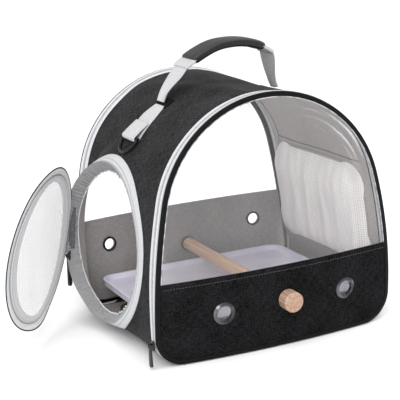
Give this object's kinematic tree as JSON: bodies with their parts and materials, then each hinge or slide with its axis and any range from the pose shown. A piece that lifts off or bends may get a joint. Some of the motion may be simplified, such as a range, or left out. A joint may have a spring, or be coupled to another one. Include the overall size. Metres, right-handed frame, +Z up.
{
  "type": "bird travel carrier",
  "caption": "Half-dome fabric bird carrier with clear zip-down end panels, mesh side door and window, through perch, raised tray, carrying handle and strap rings.",
  "frame": {"origin": "on the floor plane under the middle of the carrier's body", "axes": "+Z up, front clear panel towards -Y, side door towards -X"},
  "size_m": [0.4687, 0.327, 0.3667],
  "materials": {
    "black_linen": "woven matte",
    "grey_lining": "woven matte",
    "black_binding": "ribbed tape",
    "grey_tape": "woven tape",
    "grey_coil": "moulded zip teeth",
    "clear_pvc": "clear flexible film",
    "white_mesh": "open mesh",
    "grey_cloth": "soft woven border",
    "nickel": "polished nickel plate",
    "dark_eyelet": "black gloss",
    "birch": "sanded, unvarnished",
    "zinc_steel": "zinc plated",
    "tray_plastic": "satin moulded",
    "grey_webbing": "twill webbing",
    "black_webbing": "twill webbing",
    "grip_rubber": "soft padded sleeve",
    "gunmetal": "dark nickel plate",
    "black_metal": "enamelled",
    "pull_rubber": "moulded",
    "board_fibre": "stiff sheet"
  },
  "bodies": {
    "carrier": {"base_board": "board_fibre", "bottom_panel": "black_linen", "door_binding": "grey_lining", "door_coil": "grey_coil", "door_hinge_strip": "black_binding", "door_tape": "grey_tape", "front_hinge_strip": "black_linen", "front_seam_binding": "black_binding", "front_tunnel_coil": "grey_coil", "front_tunnel_tape": "grey_tape", "handle_anchors": "black_webbing", "left_strap_tab": "grey_webbing", "perch_dowel": "birch", "perch_studs": "zinc_steel", "perch_washers": "zinc_steel", "rear_hinge_strip": "black_linen", "rear_seam_binding": "black_binding", "rear_tunnel_coil": "grey_coil", "rear_tunnel_tape": "grey_tape", "right_strap_tab": "grey_webbing", "side_window_mesh": "white_mesh", "side_window_tape": "grey_tape", "tunnel_fabric": "black_linen", "tunnel_lining": "grey_lining"},
    "front_panel": {"front_band": "black_linen", "front_band_lining": "grey_lining", "front_clear_window": "clear_pvc", "front_edge_binding": "black_binding", "front_eyelets": "nickel", "front_eyelet_washers": "nickel", "front_panel_coil": "grey_coil", "front_panel_tape": "grey_tape"},
    "rear_panel": {"rear_band": "black_linen", "rear_band_lining": "grey_lining", "rear_clear_window": "clear_pvc", "rear_edge_binding": "black_binding", "rear_eyelets": "dark_eyelet", "rear_eyelet_washers": "dark_eyelet", "rear_panel_coil": "grey_coil", "rear_panel_tape": "grey_tape"},
    "front_cap": {"front_perch_cap": "birch"},
    "rear_cap": {"rear_perch_cap": "birch"},
    "door_flap": {"flap_border": "grey_cloth", "flap_coil": "grey_coil", "flap_mesh": "white_mesh", "flap_trim": "grey_cloth"},
    "tray": {"tray": "tray_plastic"},
    "left_ring": {"left_d_ring": "gunmetal"},
    "right_ring": {"right_d_ring": "gunmetal"},
    "handle": {"handle_webbing": "grey_webbing", "handle_grip": "grip_rubber", "handle_cuffs": "grey_webbing"},
    "front_slider": {"front_slider": "black_metal"},
    "front_pull": {"front_pull": "pull_rubber"},
    "rear_slider": {"rear_slider": "black_metal"},
    "rear_pull": {"rear_pull": "pull_rubber"},
    "door_slider": {"door_slider": "black_metal"},
    "door_pull": {"door_pull": "pull_rubber"}
  },
  "joints": [
    {"name": "front_panel_hinge", "type": "hinge", "parent": "carrier", "child": "front_panel", "pos_m": [0, -0.1408, 0.0008], "axis": [1, 0, 0], "range_deg": [0, 60]},
    {"name": "rear_panel_hinge", "type": "hinge", "parent": "carrier", "child": "rear_panel", "pos_m": [0, 0.1408, 0.0008], "axis": [-1, 0, 0], "range_deg": [0, 60]},
    {"name": "front_cap_screw", "type": "hinge", "parent": "front_panel", "child": "front_cap", "pos_m": [0.008, -0.155, 0.06], "axis": [0, -1, 0], "continuous": true},
    {"name": "rear_cap_screw", "type": "hinge", "parent": "rear_panel", "child": "rear_cap", "pos_m": [0.008, 0.155, 0.06], "axis": [0, 1, 0], "continuous": true},
    {"name": "door_hinge", "type": "hinge", "parent": "carrier", "child": "door_flap", "pos_m": [-0.1586, 0.11, 0.121], "axis": [0, 0, -1], "range_deg": [-46, 70]},
    {"name": "tray_lift", "type": "slide", "parent": "carrier", "child": "tray", "axis": [0, 0, 1], "range_m": [0, 0.006]},
    {"name": "left_ring_swing", "type": "hinge", "parent": "carrier", "child": "left_ring", "pos_m": [-0.1224, 0, 0.25277], "axis": [0, 1, 0], "range_deg": [0, 110]},
    {"name": "right_ring_swing", "type": "hinge", "parent": "carrier", "child": "right_ring", "pos_m": [0.1224, 0, 0.25277], "axis": [0, -1, 0], "range_deg": [0, 110]},
    {"name": "handle_lean", "type": "hinge", "parent": "carrier", "child": "handle", "pos_m": [0, 0, 0.29977], "axis": [1, 0, 0], "range_deg": [-30, 30]},
    {"name": "front_zip_run", "type": "hinge", "parent": "carrier", "child": "front_slider", "pos_m": [0.53815, -0.1255, 0.045], "axis": [0, 1, 0], "range_deg": [0, 12]},
    {"name": "front_pull_swing", "type": "hinge", "parent": "front_slider", "child": "front_pull", "pos_m": [-0.16522, -0.1255, 0.029], "axis": [0, 1, 0], "range_deg": [0, 170]},
    {"name": "rear_zip_run", "type": "hinge", "parent": "carrier", "child": "rear_slider", "pos_m": [-0.53815, 0.123, 0.045], "axis": [0, -1, 0], "range_deg": [0, 12]},
    {"name": "rear_pull_swing", "type": "hinge", "parent": "rear_slider", "child": "rear_pull", "pos_m": [0.16522, 0.123, 0.029], "axis": [0, -1, 0], "range_deg": [0, 170]},
    {"name": "door_zip_run", "type": "hinge", "parent": "door_flap", "child": "door_slider", "pos_m": [-0.2343, 0.04012, 0.104], "axis": [-0.6945, 0.7192, 0.0209], "range_deg": [0, 110]},
    {"name": "door_pull_swing", "type": "hinge", "parent": "door_slider", "child": "door_pull", "pos_m": [-0.18426, 0.09531, 0.0882], "axis": [0.7193, 0.6947, 0], "range_deg": [0, 170]}
  ]
}
